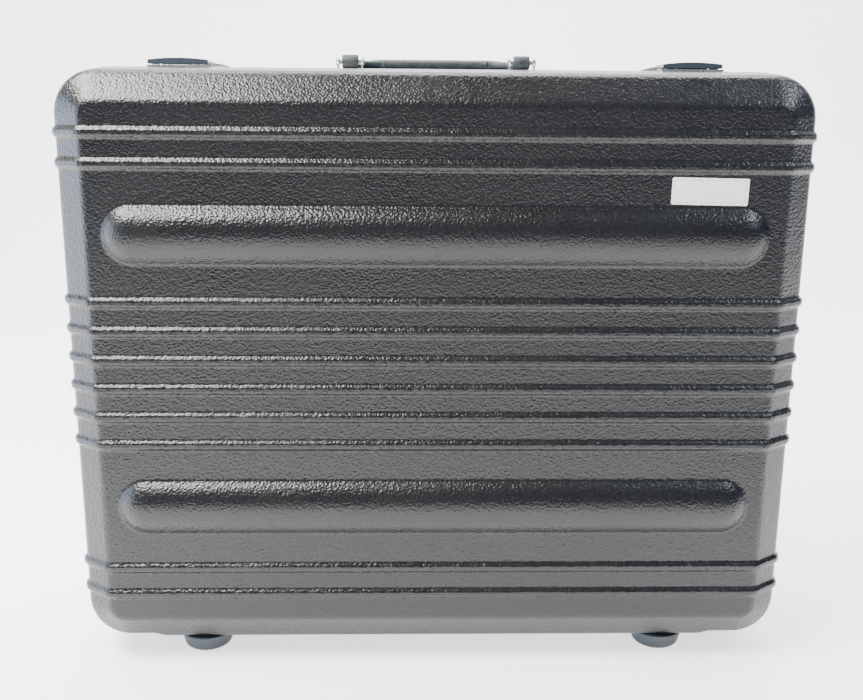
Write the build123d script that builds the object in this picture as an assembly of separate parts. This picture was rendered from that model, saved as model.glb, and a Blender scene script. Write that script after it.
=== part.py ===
from build123d import *

import os
from math import hypot, sqrt

# Moulded carrying case: two ribbed shells on a bottom hinge, foam lined, with a
# folding handle and two snap latches along the top.
#
# Frame: millimetres, +Z up, +X to the right as seen from the lid, +Y from lid to base.
# The origin is on the floor, under the middle of the closed case standing on its feet.


# ---------------------------------------------------------------- driving dimensions
CORNER_X = 233.0  # centres of the four corner arcs, from the case's middle
CORNER_Z = 180.0
FACE_R = 9.0  # corner radius of the flat face
BEVEL_R = 30.0  # corner radius behind the bevel
LAND_R = 33.8  # corner radius of the straight land beside the opening
BEVEL_DEPTH = 15.0
WALL = 3.0
LID_DEPTH = 76.0  # face to parting plane
BASE_DEPTH = 102.0
LID_LAND = 22.0  # straight, undrafted strip beside the opening
BASE_LAND = 40.0
BAR_HEIGHT = 9.5  # the two long cushion bars stand this far off each face
PARTING_Y = (LID_DEPTH - BASE_DEPTH) / 2
FOOT_HEIGHT = 13.0
MIDDLE_Z = FOOT_HEIGHT + CORNER_Z + LAND_R
TOP_Z = MIDDLE_Z + CORNER_Z + LAND_R  # the wall that carries handle and latches
BOTTOM_Z = FOOT_HEIGHT  # the wall that carries hinges and feet

RIB_PITCH = 20.85
RIB_PAIR_Z = 158.1  # middle of the upper and lower pairs of ribs
RIB_HEIGHT = 2.2
RIB_CREST = 2.2  # half width of the crest
RIB_ROOT = 4.9  # half width 1 mm under the surface
RIB_END = 14.0  # ribs stop this far from the parting plane

BAR_Z = 99.5
BAR_HALF_LENGTH = 231.0
BAR_HALF_WIDTH = 20.4

RIM_FLANGE = 4.0  # the aluminium frame's visible band, each side of the parting plane
RIM_GAP = 0.15
RIM_INSIDE_R = 28.0
RIM_STACK = LAND_R - RIM_INSIDE_R  # wall and frame together, where a rivet passes both

FOOT_X = 178.0
FOOT_FROM_FACE = 36.0
NUT_TOP = 8.1  # top of the foot's nut, above the bottom wall's outer face

HINGE_XS = (-110.0, 0.0, 110.0)
HINGE_LENGTH = 60.0
HINGE_DROP = 3.3  # hinge axis below the bottom wall
KNUCKLE_R = 3.0
LEAF = 1.5
LEAF_DEPTH = 18.5
HINGE_RIVET_Y = 10.5  # hinge rivets, each side of the parting plane

HANDLE_Y = PARTING_Y + 11.0  # handle pivot axis
HANDLE_Z = TOP_Z + 6.4
PIVOT_X = 64.0  # middle of each handle knuckle
THROW = 34.0  # pivot axis to the middle of the grip

LATCH_IN, LATCH_OUT = 153.5, 209.0  # latch ends, from the case's middle
HASP_IN = 165.5
HASP_TOP = 6.8
HASP_Y = PARTING_Y + 21.0  # hasp hinge axis
HASP_Z = TOP_Z + 4.0
BOLT_END = 195.5
SPRING_STOP = 206.0


# ---------------------------------------------------------------- small helpers
def block(x0, x1, y0, y1, z0, z1):
    """An axis-aligned box from its limits."""
    middle = ((x0 + x1) / 2, (y0 + y1) / 2, (z0 + z1) / 2)
    return Pos(*middle) * Box(x1 - x0, y1 - y0, z1 - z0)


def rod_x(x0, x1, y, z, r):
    """A cylinder along X."""
    return Pos((x0 + x1) / 2, y, z) * Rot(0, 90, 0) * Cylinder(r, x1 - x0)


def rod_z(x, y, z0, z1, r):
    """A cylinder along Z."""
    return Pos(x, y, (z0 + z1) / 2) * Cylinder(r, z1 - z0)


def joined(shapes):
    """All the shapes fused into one."""
    shapes = list(shapes)
    return shapes[0].fuse(*shapes[1:]) if len(shapes) > 1 else shapes[0]


def mirrored_x(shape):
    return mirror(shape, about=Plane.YZ)


def save(name, shape):
    """Writes one node: a solid, or a group of separate solids."""
    solids = shape.solids()
    export_step(solids[0] if len(solids) == 1 else Compound(children=list(solids)), f"parts/{name}.step")


def polygon_xy(points):
    """A planar face in XY from its corner points."""
    return make_face(Polyline(*points, close=True))


def offset_point(before, point, after, distance):
    """The corner that a line through three points has once moved sideways by distance."""
    ax, ay = point[0] - before[0], point[1] - before[1]
    bx, by = after[0] - point[0], after[1] - point[1]
    la, lb = hypot(ax, ay), hypot(bx, by)
    nx, ny = -ay / la - by / lb, ax / la + bx / lb
    scale = 2 * distance / (nx * nx + ny * ny)
    return point[0] + nx * scale, point[1] + ny * scale


# ---------------------------------------------------------------- shells
def edge_points(depth, land, end):
    """Outer line of the shell's edge: distance from the corner axis, and depth from the face."""
    return [(0, 0), (FACE_R, 0), (BEVEL_R, BEVEL_DEPTH), (LAND_R, depth - land), (LAND_R, end)]


def edge_section(depth, land, end):
    """The wall's section from the face, round the bevel and along the side."""
    outer = edge_points(depth, land, end)
    inner = [(0, WALL)]
    for before, point, after in zip(outer, outer[1:], outer[2:]):
        inner.append(offset_point(before, point, after, WALL))
    inner.append((LAND_R - WALL, end))
    radii = (10.0, 10.0, 60.0)
    outer_line = FilletPolyline(*outer, radius=radii)
    inner_line = FilletPolyline(*inner, radius=tuple(r - WALL for r in radii))
    ends = [Line(outer[0], inner[0]), Line(outer[-1], inner[-1])]
    return make_face(Wire([*outer_line.edges(), *inner_line.edges(), *[e.edge() for e in ends]]))


def plain_shell(depth, land):
    """The open tray, face outwards at Y = 0, before its ribs and bars."""
    section = edge_section(depth, land, depth - RIM_FLANGE)
    corner = revolve(section, Axis.Y, 90)
    side = extrude(section, CORNER_Z, dir=(0, 0, 1), both=True)
    cap = extrude(section, CORNER_X, dir=(0, 0, 1), both=True)
    pieces = [block(-CORNER_X, CORNER_X, 0, WALL, -CORNER_Z, CORNER_Z)]
    pieces += [Pos(CORNER_X, 0, -CORNER_Z) * corner, Pos(-CORNER_X, 0, -CORNER_Z) * Rot(0, 90, 0) * corner]
    pieces += [Pos(-CORNER_X, 0, CORNER_Z) * Rot(0, 180, 0) * corner, Pos(CORNER_X, 0, CORNER_Z) * Rot(0, 270, 0) * corner]
    pieces += [Pos(CORNER_X, 0, 0) * side, Pos(-CORNER_X, 0, 0) * Rot(0, 180, 0) * side]
    pieces += [Pos(0, 0, -CORNER_Z) * Rot(0, 90, 0) * cap, Pos(0, 0, CORNER_Z) * Rot(0, 270, 0) * cap]
    return joined(pieces)


def rib(depth, land):
    """One raised rib that wraps the face, both bevels and both sides."""
    end = depth - RIB_END
    right = [(CORNER_X + r, y) for r, y in edge_points(depth, land, end)][1:]
    left = [(-x, y) for x, y in reversed(right)]
    path = FilletPolyline(*left, *right, radius=(60.0, 10.0, 10.0, 10.0, 10.0, 60.0))
    outline = FilletPolyline(
        (-1, -RIB_ROOT), (RIB_HEIGHT, -RIB_CREST), (RIB_HEIGHT, RIB_CREST), (-1, RIB_ROOT), radius=1.5
    )
    closing = Line((-1, RIB_ROOT), (-1, -RIB_ROOT))
    section = make_face(Wire([*outline.edges(), closing.edge()]))
    start = Plane(origin=(left[0][0], left[0][1], 0), x_dir=(-1, 0, 0), z_dir=(0, -1, 0))
    return sweep(start * section, path=path)


def rib_heights():
    """Ribs from top to bottom: a pair, six together and another pair."""
    pair = [RIB_PITCH / 2, -RIB_PITCH / 2]
    middle = [RIB_PITCH * (2.5 - n) for n in range(6)]
    return [RIB_PAIR_Z + z for z in pair] + middle + [-RIB_PAIR_Z + z for z in pair]


def bar(inset, root):
    """A long bar with a round back and round ends, shrunk by inset, starting root behind the face."""
    arc_r = (BAR_HALF_WIDTH**2 + BAR_HEIGHT**2) / (2 * BAR_HEIGHT)
    centre = arc_r - BAR_HEIGHT
    r = arc_r - inset
    arc = ThreePointArc((0, centre - r), (r * sin45(), centre - r * sin45()), (r, centre))
    quarter = make_face(Wire([arc.edge(), Line((r, centre), (0, centre)).edge(), Line((0, centre), (0, centre - r)).edge()]))
    section = quarter & (Pos(r / 2, root - r) * Rectangle(2 * r, 2 * r))
    dome = revolve(section, Axis.Y, 360)
    straight = BAR_HALF_LENGTH - BAR_HALF_WIDTH
    upright = Plane(origin=(0, 0, 0), x_dir=(0, 0, 1), z_dir=(-1, 0, 0))
    profile = upright * (section + mirror(section, about=Plane.YZ))
    middle = extrude(profile, straight, dir=(1, 0, 0), both=True)
    return joined([middle, Pos(straight, 0, 0) * dome, Pos(-straight, 0, 0) * dome])


def sin45():
    return sqrt(0.5)


def foot_platform(depth):
    """The flat, undrafted strip under the case that its feet and hinges stand on."""
    slope = BEVEL_DEPTH / (BEVEL_R - FACE_R)
    front_y = BEVEL_DEPTH + (LAND_R - BEVEL_R) * slope
    end = depth - RIM_FLANGE
    outline = [(24, 11.0), (LAND_R, front_y), (LAND_R, end), (31.6, end), (30.4, 28), (27, 14.6)]
    prism = extrude(polygon_xy(outline), CORNER_X, dir=(0, 0, 1), both=True)
    prism = Pos(0, 0, -CORNER_Z) * Rot(0, 90, 0) * prism
    half, ramp = 207.0, 8.0
    low, foot = -CORNER_Z - LAND_R, -CORNER_Z - BEVEL_R
    trapezium = [(-half - ramp, -200), (-half - ramp, foot), (-half, low - 0.1), (half, low - 0.1)]
    trapezium += [(half + ramp, foot), (half + ramp, -200)]
    mask = extrude(Plane.XZ * polygon_xy(trapezium), 2 * depth, both=True)
    return prism & mask


def shell(depth, land):
    """A complete shell with ribs, hollow bars and its foot platform."""
    body = plain_shell(depth, land)
    one_rib = rib(depth, land)
    solid_bar = bar(0, 1.0)
    hollow = bar(WALL, WALL + 1.0)
    body = body.fuse(
        foot_platform(depth),
        *[Pos(0, 0, z) * one_rib for z in rib_heights()],
        *[Pos(0, 0, z) * solid_bar for z in (BAR_Z, -BAR_Z)],
    )
    return body.cut(*[Pos(0, 0, z) * hollow for z in (BAR_Z, -BAR_Z)])


# ---------------------------------------------------------------- frames and foam
def ring(r_out, r_in, y0, y1):
    """A rounded rectangular ring that shares the shells' corner centres."""
    outer = RectangleRounded(2 * (CORNER_X + r_out), 2 * (CORNER_Z + r_out), r_out)
    inner = RectangleRounded(2 * (CORNER_X + r_in), 2 * (CORNER_Z + r_in), r_in)
    return extrude(Plane.XZ.offset(-y0) * (outer - inner), -(y1 - y0))


def base_rim(depth):
    """Aluminium frame with the groove."""
    face = depth - RIM_GAP
    flange = ring(LAND_R - 0.05, RIM_INSIDE_R, depth - RIM_FLANGE, face)
    leg = ring(LAND_R - WALL - 0.1, RIM_INSIDE_R, depth - RIM_FLANGE - 13, depth - RIM_FLANGE)
    return joined([flange, leg]) - ring(32.7, 29.1, face - 2.8, face + 1)


def lid_rim(depth):
    """Aluminium frame with the tongue."""
    face = depth - RIM_GAP
    flange = ring(LAND_R - 0.05, RIM_INSIDE_R, depth - RIM_FLANGE, face)
    leg = ring(LAND_R - WALL - 0.1, RIM_INSIDE_R, depth - RIM_FLANGE - 10, depth - RIM_FLANGE)
    return joined([flange, leg, ring(31.5, 30.3, face - 1, face + 2.2)])


def foam_block(top):
    """Foam that fills a shell up to the given depth, with its outer edge bevelled."""
    low = Plane.XZ.offset(-WALL - 1) * RectangleRounded(2 * (CORNER_X + 7.5), 2 * (CORNER_Z + 7.5), 7.5)
    high = Plane.XZ.offset(-18) * RectangleRounded(2 * (CORNER_X + 25.5), 2 * (CORNER_Z + 25.5), 25.5)
    return joined([loft([low, high], ruled=True), extrude(high, -(top - 18))])


def pocket(x0, x1, z0, z1, y0, y1):
    """A pocket with rounded upright corners."""
    shape = Pos((x0 + x1) / 2, (z0 + z1) / 2) * RectangleRounded(x1 - x0, z1 - z0, 10)
    return extrude(Plane.XZ.offset(-y0) * shape, -(y1 - y0))


POCKETS = ((-212, 212, -182, 82), (-212, 40, 108, 182), (64, 212, 108, 182))
BASE_FOAM_TOP = BASE_DEPTH - 6
POCKET_FLOOR = 22.0
LID_FOAM_TOP = 40.0


def base_foam():
    body = foam_block(BASE_FOAM_TOP)
    for x0, x1, z0, z1 in POCKETS:
        body = body - pocket(x0, x1, z0, z1, POCKET_FLOOR, BASE_FOAM_TOP + 1)
    return body


def lid_place(shape):
    """From the shell's own frame to the lid."""
    return Pos(0, PARTING_Y - LID_DEPTH, MIDDLE_Z) * shape


def base_place(shape):
    """From the shell's own frame to the base, whose face looks the other way."""
    return Pos(0, PARTING_Y + BASE_DEPTH, MIDDLE_Z) * mirror(shape, about=Plane.XZ)


# ---------------------------------------------------------------- fasteners
def rivet_up(x, y, seat, grip, head_r=3.2, shank_r=1.6, head_h=1.3):
    """A rivet in a horizontal wall: domed head above seat, shank down through grip, tail inside."""
    head = rod_z(x, y, seat, seat + head_h, head_r)
    head = fillet(head.edges().sort_by(Axis.Z)[-1], head_h * 0.75)
    shank = rod_z(x, y, seat - grip, seat, shank_r)
    tail = rod_z(x, y, seat - grip - 1.2, seat - grip, head_r)
    return joined([head, shank, tail])


def rivet_down(x, y, seat, grip, head_r=3.2, shank_r=1.6):
    """The same, head downwards."""
    up = rivet_up(x, y, 0, grip, head_r, shank_r)
    return Pos(0, 0, seat) * mirror(up, about=Plane.XY)


def shank_holes(points, z0, z1, r=1.6):
    """Cylinders that drill the walls that the rivets pass."""
    return [rod_z(x, y, z0, z1, r) for x, y in points]


# ---------------------------------------------------------------- hinges
HINGE_Z = BOTTOM_Z - HINGE_DROP
KNUCKLES = 5


def hinge_leaf(x_middle, side):
    """A leaf with its knuckles: side -1 for the lid's, +1 for the base's."""
    step = HINGE_LENGTH / KNUCKLES
    x0 = x_middle - HINGE_LENGTH / 2
    near, far = KNUCKLE_R + 0.3, LEAF_DEPTH
    ys = sorted((PARTING_Y + side * near, PARTING_Y + side * far))
    plate = block(x0, x0 + HINGE_LENGTH, ys[0], ys[1], BOTTOM_Z - LEAF, BOTTOM_Z)
    plate = fillet(plate.edges().filter_by(Axis.Z).group_by(Axis.Y)[0 if side < 0 else -1], 4)
    pieces = [plate]
    for n in range(KNUCKLES):
        if (n % 2 == 0) == (side > 0):
            a, b = x0 + n * step + 0.15, x0 + (n + 1) * step - 0.15
            neck = sorted((PARTING_Y + side * 1.0, PARTING_Y + side * (near + 0.5)))
            pieces.append(rod_x(a, b, PARTING_Y, HINGE_Z, KNUCKLE_R))
            pieces.append(block(a, b, neck[0], neck[1], BOTTOM_Z - LEAF, BOTTOM_Z - 0.6))
    leaf = joined(pieces)
    return leaf - rod_x(x0 - 1, x0 + HINGE_LENGTH + 1, PARTING_Y, HINGE_Z, 1.55)


def hinge_pin(x_middle):
    half = HINGE_LENGTH / 2
    pin = rod_x(x_middle - half, x_middle + half, PARTING_Y, HINGE_Z, 1.5)
    heads = [rod_x(x_middle + s * half - 0.5 + s * 0.5, x_middle + s * half + 0.5 + s * 0.5, PARTING_Y, HINGE_Z, 2.3) for s in (-1, 1)]
    return joined([pin, *heads])


def hinge_rivet_points(side):
    y = PARTING_Y + side * HINGE_RIVET_Y
    return [(x + dx, y) for x in HINGE_XS for dx in (-20.0, 0.0, 20.0)]


# ---------------------------------------------------------------- feet
def foot(x, y):
    """A tapered rubber foot with a recess for its screw."""
    body = Pos(x, y, FOOT_HEIGHT / 2) * Cone(18.5, 21, FOOT_HEIGHT)
    body = fillet(body.edges().sort_by(Axis.Z)[0], 4)
    return body - rod_z(x, y, -1, 5, 5.5) - rod_z(x, y, 4, FOOT_HEIGHT + 1, 2.0)


def foot_screw(x, y):
    head = rod_z(x, y, 2.6, 5.0, 4.2) - Pos(x, y, 2.6) * Box(1.0, 6.0, 1.6)
    shank = rod_z(x, y, 5.0, BOTTOM_Z + NUT_TOP, 2.0)
    nut = rod_z(x, y, BOTTOM_Z + NUT_TOP - 2.1, BOTTOM_Z + NUT_TOP, 4.0)
    return joined([head, shank, nut])


FOOT_LID_Y = PARTING_Y - LID_DEPTH + FOOT_FROM_FACE
FOOT_BASE_Y = PARTING_Y + BASE_DEPTH - FOOT_FROM_FACE


# ---------------------------------------------------------------- handle
EAR = 1.2
EAR_IN, EAR_OUT = 55.0, 73.0
BRACKET_PLATE = 1.1
PIN_R = 2.0
BRACKET_RIVETS = ((PIVOT_X - 3.5, HANDLE_Y + 13.5), (PIVOT_X + 3.5, HANDLE_Y + 13.5), (78.5, HANDLE_Y))


def handle_bracket():
    """The right-hand bracket: a folded plate with two ears and an outer flange."""
    y0, y1 = HANDLE_Y - 7, HANDLE_Y + 18
    plate = block(EAR_IN - EAR / 2, EAR_OUT + EAR / 2, y0, y1, TOP_Z, TOP_Z + BRACKET_PLATE)
    flange = block(EAR_OUT, 82.5, HANDLE_Y - 5.5, HANDLE_Y + 5.5, TOP_Z, TOP_Z + BRACKET_PLATE)
    pieces = [plate, fillet(flange.edges().filter_by(Axis.Z).group_by(Axis.X)[-1], 4)]
    for x in (EAR_IN, EAR_OUT):
        web = block(x - EAR / 2, x + EAR / 2, HANDLE_Y - 6, HANDLE_Y + 6, TOP_Z, HANDLE_Z)
        crown = rod_x(x - EAR / 2, x + EAR / 2, HANDLE_Y, HANDLE_Z, 3.6)
        web = chamfer(web.edges().filter_by(Axis.X).group_by(Axis.Z)[-1], 2.4)
        pieces += [web, crown]
    bracket = joined(pieces) - rod_x(50, 80, HANDLE_Y, HANDLE_Z, PIN_R)
    return bracket.cut(*shank_holes(BRACKET_RIVETS, TOP_Z - 1, TOP_Z + 2))


def handle_pin():
    shaft = rod_x(EAR_IN - EAR / 2, EAR_OUT + EAR / 2, HANDLE_Y, HANDLE_Z, PIN_R)
    inner = rod_x(EAR_IN - EAR / 2 - 1, EAR_IN - EAR / 2, HANDLE_Y, HANDLE_Z, 2.9)
    outer = rod_x(EAR_OUT + EAR / 2, EAR_OUT + EAR / 2 + 1, HANDLE_Y, HANDLE_Z, 2.9)
    return joined([shaft, inner, outer])


GRIP_HALF = 45.0
GRIP_Z = TOP_Z + 5.3
GRIP_THICK = 9.2
GRIP_WIDTH = 21.0
KNUCKLE_HALF = 6.0
BARREL_R = 5.0


def handle_line(inset):
    """The handle's middle line in plan: out of the right knuckle, round a bend and along the grip."""
    y_grip = HANDLE_Y + THROW
    return FilletPolyline(
        (PIVOT_X, HANDLE_Y + inset), (PIVOT_X, HANDLE_Y + 15), (GRIP_HALF - 2, y_grip), (0, y_grip), radius=(9.0, 14.0)
    )


def handle_sweep(width, thick, inset):
    """A flat bar of the given width and thickness along the handle's middle line, both halves."""
    line = Pos(0, 0, GRIP_Z) * handle_line(inset)
    start = Plane(origin=(PIVOT_X, HANDLE_Y + inset, GRIP_Z), x_dir=(1, 0, 0), z_dir=(0, 1, 0))
    half = sweep(start * RectangleRounded(width, thick, min(width, thick) * 0.4), path=line)
    return joined([half, mirrored_x(half)])


def handle_core():
    """The spring-steel strip inside the handle."""
    return handle_sweep(7.0, 1.6, 8.0)


def handle_grip():
    """The moulded handle: two knuckles, two arms and the padded grip."""
    y_grip = HANDLE_Y + THROW
    arms = handle_sweep(11.0, 6.0, 3.0)
    pad = Pos(0, y_grip, GRIP_Z) * Box(2 * GRIP_HALF, GRIP_WIDTH, GRIP_THICK)
    pad = fillet(pad.edges().filter_by(Axis.X), GRIP_THICK * 0.42)
    pieces = [arms, pad]
    for s in (-1, 1):
        x0, x1 = sorted((s * (PIVOT_X - KNUCKLE_HALF), s * (PIVOT_X + KNUCKLE_HALF)))
        pieces.append(rod_x(x0, x1, HANDLE_Y, HANDLE_Z, BARREL_R))
    body = joined(pieces) - handle_core()
    bores = [rod_x(s * PIVOT_X - 10, s * PIVOT_X + 10, HANDLE_Y, HANDLE_Z, PIN_R + 0.06) for s in (-1, 1)]
    return body.cut(*bores)


def handle_backing():
    """The steel strip inside the base wall that spreads the handle's load."""
    z = TOP_Z - WALL
    strip = block(-84, 84, HANDLE_Y + 8.5, HANDLE_Y + 18.5, z - 1.5, z)
    points = [(s * x, y) for s in (-1, 1) for x, y in BRACKET_RIVETS[:2]]
    return strip.cut(*shank_holes(points, z - 3, z + 1))


# ---------------------------------------------------------------- latches
LATCH_PLATE = 1.2
HASP_FRONT = PARTING_Y - 13.0
HASP_REAR = PARTING_Y + 16.0
HASP_SKIRT = 2.6  # the cover's lower edge, above the wall
SHEET = 1.2
KNUCKLE_IN, KNUCKLE_OUT = 171.0, 203.0
LATCH_RIVETS = ((159.0, PARTING_Y + 20.5), (174.2, PARTING_Y + 13.8), (200.0, PARTING_Y + 13.8))
STRIKE_RIVETS = ((169.7, PARTING_Y - 8.0), (204.8, PARTING_Y - 8.0))


def latch_plate():
    """The right-hand latch's body: a plate with two ears for the hasp and a stop for the spring."""
    top = TOP_Z + LATCH_PLATE
    plate = block(LATCH_IN + 1.5, LATCH_OUT, PARTING_Y + 1, PARTING_Y + 25, TOP_Z, top)
    plate = fillet(plate.edges().filter_by(Axis.Z), 2)
    pieces = [plate, block(SPRING_STOP, SPRING_STOP + 1.2, PARTING_Y + 5, PARTING_Y + 11, TOP_Z, top + 3.0)]
    for a, b in ((KNUCKLE_IN - 1.7, KNUCKLE_IN - 0.3), (KNUCKLE_OUT + 0.3, KNUCKLE_OUT + 1.7)):
        pieces.append(block(a, b, HASP_Y - 3.2, HASP_Y + 3.2, TOP_Z, HASP_Z))
        pieces.append(rod_x(a, b, HASP_Y, HASP_Z, 2.7))
    body = joined(pieces) - rod_x(165, 210, HASP_Y, HASP_Z, 1.25)
    return body.cut(*shank_holes(LATCH_RIVETS, TOP_Z - 1, top + 1, 1.2))


def latch_pin():
    return rod_x(KNUCKLE_IN - 2.2, KNUCKLE_OUT + 2.2, HASP_Y, HASP_Z, 1.25)


def arch(x0, x1, y0, y1, z_low, z_end, z_crown):
    """A bar whose top is an arc across X."""
    xm = (x0 + x1) / 2
    top = ThreePointArc((x0, z_end), (xm, z_crown), (x1, z_end))
    lines = [Line((x1, z_end), (x1, z_low)), Line((x1, z_low), (x0, z_low)), Line((x0, z_low), (x0, z_end))]
    profile = make_face(Wire([top.edge(), *[line.edge() for line in lines]]))
    return extrude(Plane.XZ.offset(-y0) * profile, -(y1 - y0))


def hasp_cover():
    """The right-hand hasp: an arched pressing with a hook, a catch tab and its hinge knuckle."""
    x0, x1 = HASP_IN, LATCH_OUT
    low, end, crown = TOP_Z + HASP_SKIRT, TOP_Z + 5.4, TOP_Z + HASP_TOP
    outer = arch(x0, x1, HASP_FRONT, HASP_REAR, low, end, crown)
    outer = fillet(outer.edges().filter_by(Axis.Y).sort_by(Axis.Z)[-2:], 1.0)
    inner = arch(x0 + SHEET, x1 - SHEET, HASP_FRONT + SHEET, HASP_REAR + 1, low - 1, end - SHEET, crown - SHEET)
    window = block(x0 - 1, x0 + SHEET + 1, PARTING_Y + 1.4, PARTING_Y + 15.6, low - 1, TOP_Z + 4.2)
    cover = outer - inner - window
    neck = block(KNUCKLE_IN, KNUCKLE_OUT, HASP_REAR - 2, HASP_Y, TOP_Z + 4.7, TOP_Z + 5.9)
    knuckle = rod_x(KNUCKLE_IN, KNUCKLE_OUT, HASP_Y, HASP_Z, 2.4)
    hook = block(178.0, 198.0, PARTING_Y - 9.0, PARTING_Y - 7.4, TOP_Z + 2.2, TOP_Z + 5.9)
    tab = block(183.0, 186.0, PARTING_Y + 5.6, PARTING_Y + 9.4, TOP_Z + 1.6, TOP_Z + 6.0)
    body = joined([cover, neck, knuckle, hook, tab])
    return body - rod_x(KNUCKLE_IN - 1, KNUCKLE_OUT + 1, HASP_Y, HASP_Z, 1.3)


def slide_button():
    """The right-hand thumb button with the flat bolt behind it."""
    y0, y1 = PARTING_Y + 2, PARTING_Y + 15
    low = TOP_Z + LATCH_PLATE + 0.15
    side = [(LATCH_IN, low), (HASP_IN - 0.4, low), (HASP_IN - 0.4, TOP_Z + 3.9)]
    side += [(HASP_IN - 6, TOP_Z + 3.6), (LATCH_IN, low + 0.6)]
    profile = make_face(Polyline(*side, close=True))
    nose = extrude(Plane.XZ.offset(-y0) * profile, -(y1 - y0))
    bolt = block(HASP_IN - 3, BOLT_END, PARTING_Y + 4, PARTING_Y + 11, low, low + 1.3)
    window = block(177.5, 191.0, PARTING_Y + 5, PARTING_Y + 10, low - 1, low + 2)
    return joined([nose, bolt]) - window


def latch_spring():
    """The button's return spring, from the end of the bolt to its stop."""
    r, wire, clear = 1.25, 0.3, 0.35
    length = SPRING_STOP - BOLT_END - 2 * clear
    helix = Helix(pitch=1.15, height=length, radius=r, center=(0, 0, 0), direction=(0, 0, 1))
    section = Plane(origin=helix @ 0, z_dir=helix % 0) * Circle(wire)
    coil = sweep(section, path=helix, is_frenet=True)
    return Pos(BOLT_END + clear, PARTING_Y + 7.5, TOP_Z + LATCH_PLATE + 1.65) * Rot(0, 90, 0) * coil


def strike():
    """The right-hand strike on the lid: a plate with a raised lip."""
    plate = block(163, LATCH_OUT + 1, PARTING_Y - 14, PARTING_Y - 1, TOP_Z, TOP_Z + 1.8)
    plate = fillet(plate.edges().filter_by(Axis.Z), 1.5)
    lip = block(176, 200, PARTING_Y - 7.0, PARTING_Y - 5.8, TOP_Z + 1, TOP_Z + 4.0)
    return joined([plate, lip]).cut(*shank_holes(STRIKE_RIVETS, TOP_Z - 1, TOP_Z + 3, 1.2))


def label():
    """A blank self-adhesive label on the lid's face."""
    y = PARTING_Y - LID_DEPTH
    x, z = 187.4, MIDDLE_Z + 131.6
    return Pos(x, y - 0.15, z) * Rot(0, 0.9, 0) * Box(53.5, 0.3, 18.6)


# ---------------------------------------------------------------- build every node
def both_sides(points):
    return [(s * x, y) for s in (-1, 1) for x, y in points]


def build_lid():
    low, high = BOTTOM_Z - LEAF - 1, BOTTOM_Z + RIM_STACK + 1
    holes = shank_holes(hinge_rivet_points(-1), low, high)
    holes += shank_holes([(s * FOOT_X, FOOT_LID_Y) for s in (-1, 1)], low, high, 2.0)
    holes += shank_holes(both_sides(STRIKE_RIVETS), TOP_Z - RIM_STACK - 1, TOP_Z + 1, 1.2)
    save("lid_shell", lid_place(shell(LID_DEPTH, LID_LAND)).cut(*holes))
    save("lid_rim", lid_place(lid_rim(LID_DEPTH)).cut(*holes))
    save("lid_foam", lid_place(foam_block(LID_FOAM_TOP)))
    for name, x in zip(("left", "middle", "right"), HINGE_XS):
        save(f"hinge_{name}_lid_leaf", hinge_leaf(x, -1).cut(*holes))
    rivets = [rivet_down(x, y, BOTTOM_Z - LEAF, LEAF + RIM_STACK, 2.8) for x, y in hinge_rivet_points(-1)]
    save("hinge_lid_rivets", Compound(children=rivets))
    for name, s in (("left", -1), ("right", 1)):
        save(f"lid_foot_{name}", foot(s * FOOT_X, FOOT_LID_Y))
    save("lid_foot_screws", Compound(children=[foot_screw(s * FOOT_X, FOOT_LID_Y) for s in (-1, 1)]))
    save("strike_right", strike())
    save("strike_left", mirrored_x(strike()))
    rivets = [rivet_up(x, y, TOP_Z + 1.8, 1.8 + RIM_STACK, 2.2, 1.2) for x, y in both_sides(STRIKE_RIVETS)]
    save("strike_rivets", Compound(children=rivets))
    save("blank_label", label())


def build_base():
    low, high = BOTTOM_Z - LEAF - 1, BOTTOM_Z + RIM_STACK + 1
    holes = shank_holes(hinge_rivet_points(1), low, high)
    holes += shank_holes([(s * FOOT_X, FOOT_BASE_Y) for s in (-1, 1)], low, high, 2.0)
    top_low, top_high = TOP_Z - RIM_STACK - 1, TOP_Z + 1
    holes += shank_holes(both_sides(BRACKET_RIVETS), top_low, top_high)
    holes += shank_holes(both_sides(LATCH_RIVETS), top_low, top_high, 1.2)
    save("base_shell", base_place(shell(BASE_DEPTH, BASE_LAND)).cut(*holes))
    save("base_rim", base_place(base_rim(BASE_DEPTH)).cut(*holes))
    save("base_foam", base_place(base_foam()))
    for name, x in zip(("left", "middle", "right"), HINGE_XS):
        save(f"hinge_{name}_base_leaf", hinge_leaf(x, 1).cut(*holes))
        save(f"hinge_{name}_pin", hinge_pin(x))
    rivets = [rivet_down(x, y, BOTTOM_Z - LEAF, LEAF + RIM_STACK, 2.8) for x, y in hinge_rivet_points(1)]
    save("hinge_base_rivets", Compound(children=rivets))
    for name, s in (("left", -1), ("right", 1)):
        save(f"base_foot_{name}", foot(s * FOOT_X, FOOT_BASE_Y))
    save("base_foot_screws", Compound(children=[foot_screw(s * FOOT_X, FOOT_BASE_Y) for s in (-1, 1)]))


def build_handle():
    save("handle_bracket_right", handle_bracket())
    save("handle_bracket_left", mirrored_x(handle_bracket()))
    save("handle_pin_right", handle_pin())
    save("handle_pin_left", mirrored_x(handle_pin()))
    seat = TOP_Z + BRACKET_PLATE
    through_strip = BRACKET_PLATE + WALL + 1.5
    grips = [through_strip, through_strip, BRACKET_PLATE + RIM_STACK]
    places = [(s * x, y, g) for s in (-1, 1) for (x, y), g in zip(BRACKET_RIVETS, grips)]
    rivets = [rivet_up(x, y, seat, g, 2.6, head_h=0.8) for x, y, g in places]
    save("handle_rivets", Compound(children=rivets))
    save("handle_backing_strip", handle_backing())
    save("handle_grip", handle_grip())
    save("handle_core", handle_core())


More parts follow.
